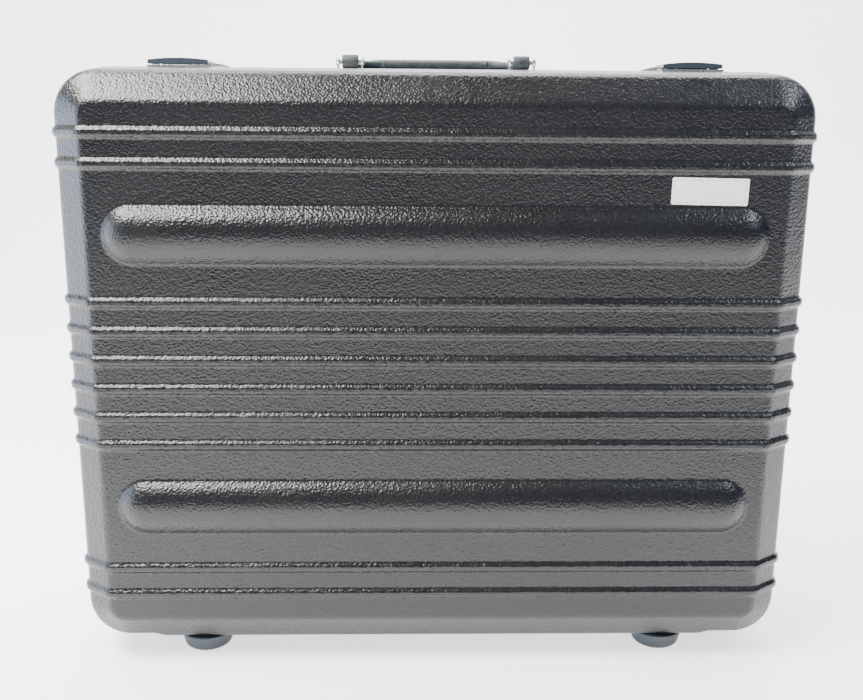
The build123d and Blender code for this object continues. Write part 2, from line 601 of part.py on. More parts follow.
def build_latches():
    makers = {"plate": latch_plate, "pin": latch_pin, "spring": latch_spring, "hasp": hasp_cover, "button": slide_button}
    for name, maker in makers.items():
        right = maker()
        save(f"latch_right_{name}", right)
        save(f"latch_left_{name}", mirrored_x(right))
    seat = TOP_Z + LATCH_PLATE
    grips = [LATCH_PLATE + WALL, LATCH_PLATE + RIM_STACK, LATCH_PLATE + RIM_STACK]
    places = [(s * x, y, g) for s in (-1, 1) for (x, y), g in zip(LATCH_RIVETS, grips)]
    rivets = [rivet_up(x, y, seat, g, 2.2, 1.2) for x, y, g in places]
    save("latch_rivets", Compound(children=rivets))


def main():
    os.makedirs("parts", exist_ok=True)
    build_lid()
    build_base()
    build_handle()
    build_latches()


main()
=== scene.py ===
"""Looks of a ribbed hard-shell carrying case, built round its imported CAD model.

Every length is in metres, in the frame of the CAD model: +X to the right as seen from
the lid, +Y from the lid to the base, +Z up, and the floor at zero.
"""

from math import cos, exp, hypot, pi, radians, sin, sqrt, tan

import bmesh
import bpy
from bpy.props import FloatProperty, FloatVectorProperty, PointerProperty
from mathutils import Matrix, Vector


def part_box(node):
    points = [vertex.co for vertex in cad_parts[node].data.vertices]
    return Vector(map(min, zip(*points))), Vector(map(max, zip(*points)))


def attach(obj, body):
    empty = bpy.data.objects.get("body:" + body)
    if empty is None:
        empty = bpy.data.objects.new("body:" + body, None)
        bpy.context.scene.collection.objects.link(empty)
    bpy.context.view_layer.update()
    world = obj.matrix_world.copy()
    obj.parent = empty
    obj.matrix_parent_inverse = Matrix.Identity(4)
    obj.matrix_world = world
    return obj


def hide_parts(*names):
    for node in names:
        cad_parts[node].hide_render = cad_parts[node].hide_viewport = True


bl_info = {
    "name": "Ribbed carrying case",
    "version": (1, 0, 0),
    "blender": (4, 5, 0),
    "location": "3D View > Sidebar > Case",
    "description": "Builds the visible pieces of a moulded carrying case",
    "category": "Add Mesh",
}

MM = 0.001
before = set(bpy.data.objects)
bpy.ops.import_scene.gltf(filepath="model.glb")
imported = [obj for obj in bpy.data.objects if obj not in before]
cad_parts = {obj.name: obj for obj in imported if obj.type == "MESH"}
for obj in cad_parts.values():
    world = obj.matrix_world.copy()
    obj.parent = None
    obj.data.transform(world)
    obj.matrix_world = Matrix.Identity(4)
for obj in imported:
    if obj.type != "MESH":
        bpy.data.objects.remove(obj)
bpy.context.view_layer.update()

# ------------------------------------------------------------------ sizes shared with the frame
RIB_HEIGHT = 2.2 * MM
BAR_HEIGHT = 9.5 * MM
FLANGE = 4 * MM  # visible band of the aluminium rim, each side of the parting plane
FACE_R = 9 * MM
BEVEL_R = 30 * MM
LAND_R = 33.8 * MM
BEVEL_DEPTH = 15 * MM
LID_LAND = 22 * MM  # straight strip beside the opening
BASE_LAND = 40 * MM
RIB_STOP = 14 * MM  # ribs stop this far from the parting plane
WALL = 2.9 * MM
PLATFORM_HALF = 206.5 * MM  # half width of the flat strip under the case
PLATFORM_RAMP = 9 * MM  # the strip blends into the bevel over this width
PLATFORM_END = 215.5 * MM
LID_LO, LID_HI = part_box("lid_shell")
BASE_LO, BASE_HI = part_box("base_shell")
PARTING_Y = LID_HI.y + FLANGE
TOP_Z, BOTTOM_Z = LID_HI.z, LID_LO.z
MIDDLE_Z = (TOP_Z + BOTTOM_Z) / 2
LID_DEPTH = PARTING_Y - LID_LO.y - BAR_HEIGHT
BASE_DEPTH = BASE_HI.y - PARTING_Y - BAR_HEIGHT
CORNER_X = LID_HI.x - RIB_HEIGHT - LAND_R
CORNER_Z = (TOP_Z - BOTTOM_Z) / 2 - LAND_R


# ------------------------------------------------------------------ mesh helpers
def link(name, mesh, material, body, smooth=True):
    """A new object with that mesh and material that rides on a CAD body."""
    obj = bpy.data.objects.new(name, mesh)
    bpy.context.scene.collection.objects.link(obj)
    mesh.materials.append(material)
    if smooth:
        mesh.shade_smooth()
    if body:
        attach(obj, body)
    return obj


def mesh_from(bm, name, outward_from=None):
    """Turns a bmesh into a mesh, its normals pointing away from outward_from."""
    bmesh.ops.remove_doubles(bm, verts=bm.verts, dist=1e-6)
    bmesh.ops.recalc_face_normals(bm, faces=bm.faces)
    if outward_from is not None:
        votes = sum((f.calc_center_median() - outward_from).dot(f.normal) * f.calc_area() for f in bm.faces)
        if votes < 0:
            bmesh.ops.reverse_faces(bm, faces=bm.faces)
    mesh = bpy.data.meshes.new(name)
    bm.to_mesh(mesh)
    bm.free()
    return mesh


def add_grid(bm, rows, closed=False):
    """Quads between rows of points, each row as long as the others."""
    made = [[bm.verts.new(p) for p in row] for row in rows]
    for a, b in zip(made, made[1:]):
        pairs = list(zip(range(len(a)), list(range(1, len(a))) + ([0] if closed else [])))
        for i, j in pairs:
            bm.faces.new((a[i], a[j], b[j], b[i]))
    return made


def cap_row(bm, row):
    """Closes a tube's end with a fan round its middle."""
    middle = bm.verts.new(sum((v.co for v in row), Vector()) / len(row))
    for a, b in zip(row, row[1:] + row[:1]):
        bm.faces.new((a, b, middle))


def lathe(bm, profile, place, turns=64):
    """Spins (radius, height) points round an axis; place maps (x, y, height) into the frame."""
    rows = []
    for r, h in profile:
        rows.append([place(r * cos(2 * pi * i / turns), r * sin(2 * pi * i / turns), h) for i in range(turns)])
    return add_grid(bm, rows, closed=True)


def filleted(points, radii, arc_steps=8, line_steps=3):
    """Samples a 2D line through the points with its inner corners rounded."""
    pts = [Vector(p) for p in points]
    knots = [pts[0]]
    for before, corner, after, radius in zip(pts, pts[1:], pts[2:], radii):
        d_in = (corner - before).normalized()
        d_out = (after - corner).normalized()
        turn = d_in.angle(d_out)
        reach = radius * tan(turn / 2)
        start, end = corner - d_in * reach, corner + d_out * reach
        inward = (d_out - d_in).normalized()
        centre = corner + inward * hypot(radius, reach)
        arc = []
        for i in range(arc_steps + 1):
            t = i / arc_steps
            spoke = (start - centre).lerp(end - centre, t).normalized() * radius
            arc.append(centre + spoke)
        knots.append(arc)
    knots.append(pts[-1])
    line = [knots[0]]
    for knot in knots[1:]:
        target = knot[0] if isinstance(knot, list) else knot
        last = line[-1]
        line += [last.lerp(target, i / line_steps) for i in range(1, line_steps + 1)]
        if isinstance(knot, list):
            line += knot[1:]
    return line


def smoothstep(x):
    x = min(max(x, 0.0), 1.0)
    return x * x * (3 - 2 * x)


def bevel(obj, width, segments=2, angle=35):
    """Softens an object's edges without touching its mesh."""
    mod = obj.modifiers.new("edges", "BEVEL")
    mod.width = width
    mod.segments = segments
    mod.limit_method = "ANGLE"
    mod.angle_limit = radians(angle)
    mod.harden_normals = False
    return mod


# ------------------------------------------------------------------ material helpers
class Nodes:
    """A short way to write node trees."""

    def __init__(self, name):
        self.material = bpy.data.materials.new(name)
        self.material.use_nodes = True
        self.tree = self.material.node_tree
        self.shader = self.tree.nodes["Principled BSDF"]
        self.where = self.new("ShaderNodeTexCoord").outputs["Object"]

    def new(self, kind, **settings):
        node = self.tree.nodes.new(kind)
        for key, value in settings.items():
            setattr(node, key, value)
        return node

    def put(self, value, socket):
        """Links a socket, or sets a plain value on it."""
        if isinstance(value, bpy.types.NodeSocket):
            self.tree.links.new(value, socket)
        else:
            socket.default_value = value

    def noise(self, scale, detail=3.0, roughness=0.55, vector=None):
        node = self.new("ShaderNodeTexNoise")
        self.put(vector or self.where, node.inputs["Vector"])
        self.put(scale, node.inputs["Scale"])
        self.put(detail, node.inputs["Detail"])
        self.put(roughness, node.inputs["Roughness"])
        return node.outputs["Fac"]

    def cells(self, scale, feature="SMOOTH_F1", vector=None):
        node = self.new("ShaderNodeTexVoronoi", feature=feature)
        self.put(vector or self.where, node.inputs["Vector"])
        self.put(scale, node.inputs["Scale"])
        return node.outputs["Distance"]

    def stretched(self, x, y, z):
        node = self.new("ShaderNodeMapping")
        self.put(self.where, node.inputs["Vector"])
        node.inputs["Scale"].default_value = (x, y, z)
        return node.outputs["Vector"]

    def math(self, operation, a, b=0.0):
        node = self.new("ShaderNodeMath", operation=operation)
        self.put(a, node.inputs[0])
        self.put(b, node.inputs[1])
        return node.outputs[0]

    def ramp(self, value, low, high, to_low=0.0, to_high=1.0):
        node = self.new("ShaderNodeMapRange", clamp=True)
        for number, socket in zip((value, low, high, to_low, to_high), node.inputs):
            self.put(number, socket)
        return node.outputs[0]

    def mix(self, factor, a, b):
        node = self.new("ShaderNodeMix", data_type="RGBA")
        self.put(factor, node.inputs["Factor"])
        for value, socket in ((a, node.inputs[6]), (b, node.inputs[7])):
            self.put(value, socket)
        return node.outputs[2]

    def bump(self, height, depth, strength=1.0, below=None):
        node = self.new("ShaderNodeBump")
        self.put(height, node.inputs["Height"])
        self.put(depth, node.inputs["Distance"])
        self.put(strength, node.inputs["Strength"])
        if below is not None:
            self.put(below, node.inputs["Normal"])
        return node.outputs["Normal"]

    def rounded(self, radius):
        """A normal that rounds sharp edges by that radius."""
        node = self.new("ShaderNodeBevel", samples=4)
        node.inputs["Radius"].default_value = radius
        return node.outputs["Normal"]

    def finish(self, **sockets):
        for name, value in sockets.items():
            self.put(value, self.shader.inputs[name.replace("_", " ")])
        return self.material


def rgba(colour, gain=1.0):
    return (*[c * gain for c in colour[:3]], 1.0)


def grained_plastic(settings):
    """Black moulded plastic with a pebbled grain about a millimetre across; painted shade darkens the grain's
    hollows and a painted highlight lightens its tops.
    """
    n = Nodes("shell_black")
    pebble = n.cells(1 / settings.grain_size)
    wander = n.noise(0.55 / settings.grain_size, 4.0)
    height = n.math("ADD", n.math("MULTIPLY", pebble, 0.9), n.math("MULTIPLY", wander, 0.9))
    grain = n.bump(height, settings.grain_depth, 0.9)
    cloud = n.noise(14.0, 5.0)
    dust = n.ramp(n.noise(420.0, 2.0), 0.62, 0.78)
    rough = n.math("ADD", n.ramp(cloud, 0.3, 0.7, -0.03, 0.04), settings.shell_roughness)
    rough = n.math("ADD", rough, n.math("MULTIPLY", dust, 0.05))
    # painted shade and highlight: the grain's hollows are darker and its tops lighter, following the bump
    # height
    painted_grain_shading = n.ramp(height, 0.55, 0.95)
    colour = n.mix(painted_grain_shading, rgba(settings.shell_colour, 0.75), rgba(settings.shell_colour, 1.35))
    colour = n.mix(n.math("MULTIPLY", dust, 0.10), colour, (0.10, 0.10, 0.105, 1))
    return n.finish(Base_Color=colour, Roughness=rough, Normal=grain, IOR=1.52)


def metal(name, colour, roughness, streak=(1.0, 1.0, 1.0), stain=0.15):
    """Plated or anodised metal with fine streaks, light handling marks and a little tarnish."""
    n = Nodes(name)
    lines = n.noise(900.0, 2.0, vector=n.stretched(*streak))
    marks = n.noise(60.0, 6.0)
    specks = n.ramp(n.noise(1500.0, 1.0), 0.68, 0.8)
    rough = n.math("ADD", n.ramp(marks, 0.35, 0.7, -0.06, 0.10), roughness)
    tint = n.math("MULTIPLY", n.ramp(marks, 0.45, 0.75), stain)
    base = n.mix(tint, rgba(colour), rgba(colour, 0.55))
    base = n.mix(n.math("MULTIPLY", specks, 0.25), base, rgba(colour, 0.4))
    relief = n.bump(lines, 0.02 * MM, 0.35, n.rounded(0.4 * MM))
    return n.finish(Base_Color=base, Metallic=1.0, Roughness=rough, Normal=relief)


def enamel(settings):
    """Satin blue-grey paint over pressed steel, with orange peel and rubbed patches."""
    n = Nodes("hasp_enamel")
    peel = n.noise(700.0, 2.0)
    rub = n.ramp(n.noise(160.0, 6.0), 0.6, 0.72)
    base = n.mix(n.math("MULTIPLY", rub, 0.5), rgba(settings.hasp_colour), rgba(settings.hasp_colour, 1.9))
    rough = n.ramp(rub, 0.0, 1.0, 0.36, 0.5)
    relief = n.bump(peel, 0.05 * MM, 0.5, n.rounded(0.6 * MM))
    return n.finish(Base_Color=base, Roughness=rough, Normal=relief, Metallic=0.35, Coat_Weight=0.25)


def rubber(settings):
    """Matt moulded rubber, dusty where it has been handled."""
    n = Nodes("foot_rubber")
    skin = n.noise(1300.0, 3.0)
    bloom = n.ramp(n.noise(90.0, 5.0), 0.4, 0.7)
    base = n.mix(bloom, rgba(settings.foot_colour), rgba(settings.foot_colour, 1.5))
    rough = n.ramp(bloom, 0.0, 1.0, 0.55, 0.72)
    return n.finish(Base_Color=base, Roughness=rough, Normal=n.bump(skin, 0.06 * MM, 0.6))


def leather_grain(settings):
    """Soft vinyl with a leather grain: cells with creases between them, the creases darkened by painted shade.
    """
    n = Nodes("grip_grey")
    swirl = n.noise(260.0, 3.0)
    crease_relief_and_shade = n.ramp(n.cells(620.0, "DISTANCE_TO_EDGE"), 0.0, 0.22)
    fine = n.noise(2400.0, 2.0)
    height = n.math("ADD", crease_relief_and_shade, n.math("MULTIPLY", swirl, 0.8))
    height = n.math("ADD", height, n.math("MULTIPLY", fine, 0.25))
    # painted shade: the creases between the cells are darker
    base = n.mix(crease_relief_and_shade, rgba(settings.grip_colour, 0.35), rgba(settings.grip_colour, 1.1))
    base = n.mix(n.ramp(swirl, 0.4, 0.7, 0.0, 0.5), base, rgba(settings.grip_colour, 1.9))
    rough = n.ramp(swirl, 0.3, 0.7, 0.42, 0.6)
    return n.finish(Base_Color=base, Roughness=rough, Normal=n.bump(height, 0.12 * MM, 0.8))


def foam(settings):
    """Open-cell foam: pores of two sizes in a soft, dark body, the small pores darkened by painted shade."""
    n = Nodes("foam_charcoal")
    pore_relief_and_shade = n.ramp(n.cells(900.0, "F1"), 0.05, 0.55)
    large = n.ramp(n.cells(330.0, "F1"), 0.0, 0.35)
    height = n.math("ADD", pore_relief_and_shade, n.math("MULTIPLY", large, 0.6))
    # painted shade: the small pores are darker at their hollows
    base = n.mix(pore_relief_and_shade, rgba(settings.foam_colour, 0.35), rgba(settings.foam_colour, 1.25))
    base = n.mix(n.ramp(n.noise(9.0, 4.0), 0.35, 0.7, 0.0, 0.35), base, rgba(settings.foam_colour, 1.8))
    relief = n.bump(height, 0.5 * MM, 0.9)
    return n.finish(Base_Color=base, Roughness=0.95, Normal=relief, Sheen_Weight=0.25, Sheen_Roughness=0.6)


def ruled_paper(settings, middle, half):
    """White label stock with a plain printed frame and two short rules, square to the label."""
    n = Nodes("label_white")
    axes = n.new("ShaderNodeSeparateXYZ")
    n.put(n.where, axes.inputs[0])
    across = n.math("ABSOLUTE", n.math("SUBTRACT", axes.outputs["X"], middle.x))
    up = n.math("SUBTRACT", axes.outputs["Z"], middle.z)
    inner_x, inner_z = half.x - 2.2 * MM, half.z - 2.2 * MM
    line = 0.35 * MM

    def near(value, target):
        return n.math("LESS_THAN", n.math("ABSOLUTE", n.math("SUBTRACT", value, target)), line / 2)

    def less(value, limit):
        return n.math("LESS_THAN", value, limit)

    height = n.math("ABSOLUTE", up)
    sides = n.math("MULTIPLY", near(across, inner_x), less(height, inner_z))
    ends = n.math("MULTIPLY", near(height, inner_z), less(across, inner_x))
    rules = n.math("MULTIPLY", near(height, 2.6 * MM), less(across, inner_x - 6 * MM))
    ink = n.math("MAXIMUM", n.math("MAXIMUM", sides, ends), rules)
    fibre = n.noise(2600.0, 3.0)
    paper = n.mix(n.ramp(fibre, 0.3, 0.7), rgba(settings.label_colour, 0.93), rgba(settings.label_colour))
    paper = n.mix(n.ramp(n.noise(120.0, 4.0), 0.55, 0.8, 0.0, 0.15), paper, (0.62, 0.60, 0.55, 1))
    base = n.mix(n.math("MULTIPLY", ink, 0.55), paper, (0.25, 0.27, 0.31, 1))
    return n.finish(Base_Color=base, Roughness=0.48, Normal=n.bump(fibre, 0.03 * MM, 0.4))


def studio_white(name, value, glow):
    """The matt, pale floor, lit from within like a light table under and behind the case."""
    n = Nodes(name)
    axes = n.new("ShaderNodeSeparateXYZ")
    n.put(n.where, axes.inputs[0])
    base = n.mix(n.ramp(n.noise(3.0, 2.0), 0.3, 0.7), rgba((value,) * 3, 0.985), rgba((value,) * 3))
    strength = n.ramp(axes.outputs["Y"], -0.75, -0.2, glow * 0.25, glow)
    return n.finish(Base_Color=base, Roughness=0.9, Emission_Color=(1, 1, 1, 1), Emission_Strength=strength)


MATERIALS = {}


def material(name, settings):
    """One material of each name, made when it is first asked for."""
    if name not in MATERIALS:
        makers = {
            "shell_black": lambda: grained_plastic(settings),
            "rim_aluminium": lambda: metal(name, (0.78, 0.79, 0.80), 0.27, (0.02, 1.0, 0.02), 0.1),
            "hardware_zinc": lambda: metal(name, (0.70, 0.71, 0.72), 0.30, (0.05, 1.0, 1.0), 0.3),
            "button_steel": lambda: metal(name, (0.66, 0.67, 0.69), 0.34, (1.0, 0.05, 1.0), 0.2),
            "hasp_enamel": lambda: enamel(settings),
            "foot_rubber": lambda: rubber(settings),
            "grip_grey": lambda: leather_grain(settings),
            "foam_charcoal": lambda: foam(settings),
        }
        MATERIALS[name] = makers[name]()
    return MATERIALS[name]


# ------------------------------------------------------------------ shells
def rib_heights(settings):
    """Ribs from top to bottom: a pair, six together and another pair."""
    half, pair = settings.rib_pitch / 2, settings.rib_pair
    middle = [settings.rib_pitch * (2.5 - i) for i in range(6)]
    return [pair + half, pair - half, *middle, -pair + half, -pair - half]


def rib_relief(z, heights):
    """How far the ribs lift the surface at that height: a round crest on soft flanks."""
    crest, root = 1.1 * MM, 4.9 * MM
    lift = 0.0
    for centre in heights:
        off = abs(z - centre)
        if off < root:
            lift = RIB_HEIGHT * (1 - smoothstep((off - crest) / (root - crest)))
    return lift


def bar_relief(x, z, settings):
    """How far the two long bars lift the face: a round back with a soft foot."""
    radius = (settings.bar_half_width**2 + BAR_HEIGHT**2) / (2 * BAR_HEIGHT)
    straight = settings.bar_half_length - settings.bar_half_width
    off = hypot(max(abs(x) - straight, 0.0), abs(z) - settings.bar_offset)
    if off > radius:
        return 0.0
    lift = sqrt(radius**2 - off**2) - radius + BAR_HEIGHT
    foot, skirt = 0.7 * MM, 1.9 * MM
    blend = (lift + sqrt(lift**2 + foot**2)) / 2
    fade = smoothstep((settings.bar_half_width + skirt - off) / skirt)
    return blend * fade


def steps(marks, spans, limit):
    """Sorted places between the first and last mark: fine inside each (low, high, step) span."""
    places = set(marks)
    for low, high, step in spans:
        count = max(1, round((high - low) / step))
        places.update(low + (high - low) * i / count for i in range(count + 1))
    line = sorted(p for p in places if marks[0] <= p <= marks[-1])
    merged = [line[0]]
    for p in line[1:]:
        gap = p - merged[-1]
        if gap < 0.2 * MM and p != line[-1]:
            continue
        count = int(gap / limit) + 1
        merged += [merged[-1] + gap * i / count for i in range(1, count + 1)]
    return merged


def side_profile(depth, land, deep_platform):
    """Outer line from the face's corner axis round the bevel to the rim: (radius, depth)."""
    end = depth - FLANGE
    lip = [(LAND_R, end - 0.6 * MM), (LAND_R - 0.5 * MM, end)]
    if deep_platform:
        slope = BEVEL_DEPTH / (BEVEL_R - FACE_R)
        bend = (LAND_R, BEVEL_DEPTH + (LAND_R - BEVEL_R) * slope)
        points = [(0, 0), (FACE_R, 0), bend, (LAND_R, depth - land), *lip]
    else:
        points = [(0, 0), (FACE_R, 0), (BEVEL_R, BEVEL_DEPTH), (LAND_R, depth - land), *lip]
    return filleted(points, (10 * MM, 10 * MM, 30 * MM, 0.5 * MM), line_steps=4)


def outward(line):
    """Unit normals of a profile, pointing out of the case."""
    normals = []
    for i in range(len(line)):
        along = (line[min(i + 1, len(line) - 1)] - line[max(i - 1, 0)]).normalized()
        normals.append(Vector((along.y, -along.x)))
    return normals


def shell_mesh(name, depth, land, place, settings):
    """The shell's outer skin in its own frame (face at y = 0, depth along +y), put in place."""
    heights = rib_heights(settings)
    z_spans = [(h - 5.4 * MM, h + 5.4 * MM, 0.6 * MM) for h in heights]
    reach = settings.bar_half_width + 2 * MM
    z_spans += [(s * settings.bar_offset - reach, s * settings.bar_offset + reach, 1.1 * MM) for s in (-1, 1)]
    zs = steps((-CORNER_Z, CORNER_Z), z_spans, 7 * MM)
    tip = settings.bar_half_length - settings.bar_half_width
    x_spans = []
    for low, high, step in ((tip - 1 * MM, CORNER_X, 1.1 * MM), (PLATFORM_HALF, PLATFORM_END, 1.5 * MM)):
        x_spans += [(low, high, step), (-high, -low, step)]
    xs = steps((-CORNER_X, CORNER_X), x_spans, 9 * MM)
    line = side_profile(depth, land, False)
    flat = side_profile(depth, land, True)
    normals = outward(line)
    rib_end = depth - RIB_STOP
    bm = bmesh.new()

    face = []
    for z in zs:
        lift = rib_relief(z, heights)
        face.append([place(x, -lift - bar_relief(x, z, settings), z) for x in xs])
    add_grid(bm, face)

    for sign in (-1, 1):
        rows = []
        for p, normal in zip(line, normals):
            fade = smoothstep((rib_end - p.y) / (2.5 * MM))
            row = []
            for z in zs:
                q = p + normal * rib_relief(z, heights) * fade
                row.append(place(sign * (CORNER_X + q.x), q.y, z))
            rows.append(row)
        add_grid(bm, rows)
        rows = []
        for p, f in zip(line, flat):
            row = []
            for x in xs:
                share = smoothstep((PLATFORM_END - abs(x)) / PLATFORM_RAMP) if sign < 0 else 0.0
                q = p.lerp(f, share)
                row.append(place(x, q.y, sign * (CORNER_Z + q.x)))
            rows.append(row)
        add_grid(bm, rows)
        for up in (-1, 1):
            rows = []
            for p in line:
                turns = [pi / 2 * i / 20 for i in range(21)]
                row = [
                    place(sign * (CORNER_X + p.x * cos(a)), p.y, up * (CORNER_Z + p.x * sin(a))) for a in turns
                ]
                rows.append(row)
            add_grid(bm, rows)
    return mesh_from(bm, name, outward_from=place(0, depth * 0.6, 0))


def build_shell(name, node, body, depth, land, place, settings):
    mesh = shell_mesh(name, depth, land, place, settings)
    obj = link(name, mesh, material("shell_black", settings), body)
    wall = obj.modifiers.new("wall", "SOLIDIFY")
    wall.thickness = WALL
    wall.offset = -1
    wall.use_even_offset = False
    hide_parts(node)
    return obj


def lid_point(x, y, z):
    return Vector((x, PARTING_Y - LID_DEPTH + y, MIDDLE_Z + z))


def base_point(x, y, z):
    return Vector((x, PARTING_Y + BASE_DEPTH - y, MIDDLE_Z + z))


# ------------------------------------------------------------------ foam
POCKETS = ((-212, 212, -182, 82), (-212, 40, 108, 182), (64, 212, 108, 182))  # mm, from the middle
POCKET_FLOOR = 74 * MM  # below the foam's top


def into_rounded(x, z, half_x, half_z, corner):
    """Moves a point of a sharp rectangle into the one with rounded corners."""
    over_x, over_z = abs(x) - (half_x - corner), abs(z) - (half_z - corner)
    if over_x <= 0 or over_z <= 0:
        return x, z
    scale = max(over_x, over_z) / hypot(over_x, over_z)
    x = (half_x - corner + over_x * scale) * (1 if x > 0 else -1)
    z = (half_z - corner + over_z * scale) * (1 if z > 0 else -1)
    return x, z


def foam_block(name, node, body, front, back, drop, xs, zs, settings):
    """Foam whose front face drops by drop(x, z) and whose back edges follow the shell."""
    lo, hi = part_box(node)
    half_x, half_z, corner = (hi.x - lo.x) / 2, (hi.z - lo.z) / 2, 25 * MM
    inward = 1 if back > front else -1
    bm = bmesh.new()
    rows = []
    for z in zs:
        row = []
        for x in xs:
            px, pz = into_rounded(x, z, half_x, half_z, corner)
            edge = min(half_x - abs(x), half_z - abs(z))
            roll = 3 * MM * (1 - smoothstep(edge / (5 * MM)))
            row.append(Vector((px, front + inward * (drop(x, z, edge) + roll), MIDDLE_Z + pz)))
        rows.append(row)
    face = add_grid(bm, rows)
    loop = face[0] + [r[-1] for r in face[1:]] + face[-1][-2::-1] + [r[0] for r in face[-2:0:-1]]
    rings = [[v.co.copy() for v in loop]]
    for y, inset in ((front + inward * 9 * MM, 0), (back - inward * 14 * MM, 0), (back, 17.5 * MM)):
        squeeze_x, squeeze_z = 1 - inset / half_x, 1 - inset / half_z
        ring = [Vector((v.co.x * squeeze_x, y, MIDDLE_Z + (v.co.z - MIDDLE_Z) * squeeze_z)) for v in loop]
        rings.append(ring)
    made = add_grid(bm, rings, closed=True)
    cap_row(bm, made[-1])
    mesh = mesh_from(bm, name, outward_from=Vector((0, back, MIDDLE_Z)))
    piece = link(name, mesh, material("foam_charcoal", settings), body)
    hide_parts(node)
    return piece


def build_lid_foam(settings):
    """The lid's pad, its inner face moulded in rows of round peaks."""
    lo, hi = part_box("lid_foam")
    pitch, swing, step = 19 * MM, 6.5 * MM, 2.6 * MM

    def drop(x, z, edge):
        wave = (cos(2 * pi * x / pitch) * cos(2 * pi * z / pitch) + 1) / 2
        return swing * (1 - wave) * smoothstep(edge / (12 * MM))

    half_x, half_z = (hi.x - lo.x) / 2, (hi.z - lo.z) / 2
    xs = steps((-half_x, half_x), (), step)
    zs = steps((-half_z, half_z), (), step)
    return foam_block("egg_crate_lid_foam", "lid_foam", "lid", hi.y, lo.y, drop, xs, zs, settings)


def build_base_foam(settings):
    """The base's block with its three cut pockets."""
    lo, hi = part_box("base_foam")
    corner, roll = 10 * MM, 1.8 * MM

    def outside(x, z, pocket):
        """Distance outside a rounded pocket, negative inside it."""
        x0, x1, z0, z1 = (v * MM for v in pocket)
        dx = abs(x - (x0 + x1) / 2) - (x1 - x0) / 2 + corner
        dz = abs(z - (z0 + z1) / 2) - (z1 - z0) / 2 + corner
        return hypot(max(dx, 0.0), max(dz, 0.0)) + min(max(dx, dz), 0.0) - corner

    def drop(x, z, edge):
        nearest = min(outside(x, z, pocket) for pocket in POCKETS)
        sunk = smoothstep(0.5 - nearest / roll / 2)
        swell = 0.5 * MM * sin(48 * x + 0.7) * sin(55 * z) * smoothstep(edge / (20 * MM))
        return POCKET_FLOOR * sunk + swell

    half_x, half_z = (hi.x - lo.x) / 2, (hi.z - lo.z) / 2
    x_spans, z_spans = [], []
    for x0, x1, z0, z1 in POCKETS:
        x_spans += [((x - 3) * MM, (x + 3) * MM, 0.5 * MM) for x in (x0, x1)]
        z_spans += [((z - 3) * MM, (z + 3) * MM, 0.5 * MM) for z in (z0, z1)]
        x_spans += [((x0 + 2) * MM, (x0 + 11) * MM, 1 * MM), ((x1 - 11) * MM, (x1 - 2) * MM, 1 * MM)]
        z_spans += [((z0 + 2) * MM, (z0 + 11) * MM, 1 * MM), ((z1 - 11) * MM, (z1 - 2) * MM, 1 * MM)]
    xs = steps((-half_x, half_x), x_spans, 6 * MM)
    zs = steps((-half_z, half_z), z_spans, 6 * MM)
    return foam_block("pocketed_base_foam", "base_foam", "base", lo.y, hi.y, drop, xs, zs, settings)


# ------------------------------------------------------------------ handle
def handle_route(settings):
    """The handle's middle line in plan, from the right knuckle to the left one."""
    pivot = Vector((settings.pivot_x, PARTING_Y + settings.pivot_back))
    y_grip = pivot.y + settings.handle_throw
    corner = (settings.pivot_x - 21 * MM, y_grip)
    points = [(pivot.x, pivot.y + 3 * MM), (pivot.x, pivot.y + 15 * MM), corner, (0, y_grip)]
    right = filleted(points, (9 * MM, 14 * MM), arc_steps=10, line_steps=8)
    left = [Vector((-p.x, p.y)) for p in reversed(right[:-1])]
    return right + left


def handle_section(x, settings):
    """Half width and half height of the handle where its middle line is that far from the centre."""
    share = 1 - smoothstep((abs(x) - settings.grip_half + 1 * MM) / (11 * MM))
    return 5.4 * MM + 4.9 * MM * share, 3.0 * MM + 1.5 * MM * share


def crease(x, side):
    """Shallow slanting folds in the grip's skin near its ends."""
    depth = 0.0
    for place in (31, 34.5, 38):
        off = abs(x) - place * MM + side * 0.35
        depth += exp(-((off / (0.8 * MM)) ** 2))
    return -0.35 * MM * depth


def build_grip(settings):
    lo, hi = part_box("handle_core")
    z = (lo.z + hi.z) / 2
    route = handle_route(settings)
    bm = bmesh.new()
    rows = []
    count = 40
    for i, p in enumerate(route):
        along = (route[min(i + 1, len(route) - 1)] - route[max(i - 1, 0)]).normalized()
        across = Vector((along.y, -along.x))
        wide, tall = handle_section(p.x, settings)
        row = []
        for k in range(count):
            a = 2 * pi * k / count
            c, s = cos(a), sin(a)
            u = abs(c) ** 0.62 * wide * (1 if c > 0 else -1)
            v = abs(s) ** 0.62 * tall * (1 if s > 0 else -1)
            shrink = 1 + crease(p.x, u) / wide
            row.append(Vector((p.x + across.x * u * shrink, p.y + across.y * u * shrink, z + v * shrink)))
        rows.append(row)
    rings = add_grid(bm, rows, closed=True)
    cap_row(bm, rings[0])
    cap_row(bm, rings[-1])
    pivot_y = PARTING_Y + settings.pivot_back
    pin_lo, pin_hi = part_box("handle_pin_right")
    pivot_z = (pin_lo.z + pin_hi.z) / 2
    r, bore, half = 5.0 * MM, 2.1 * MM, 6 * MM
    for sign in (-1, 1):
        end = [(bore, half), (r - 0.8 * MM, half), (r - 0.25 * MM, half - 0.25 * MM), (r, half - 0.9 * MM)]
        knuckle = [(radius, -h) for radius, h in end] + end[::-1]
        middle_x = sign * settings.pivot_x
        lathe(
            bm,
            knuckle + knuckle[:1],
            lambda a, b, h, x=middle_x: Vector((x + h, pivot_y + a, pivot_z + b)),
            40,
        )
    mesh = mesh_from(bm, "moulded_grip")
    piece = link("moulded_grip", mesh, material("grip_grey", settings), "handle")
    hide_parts("handle_grip")
    return piece


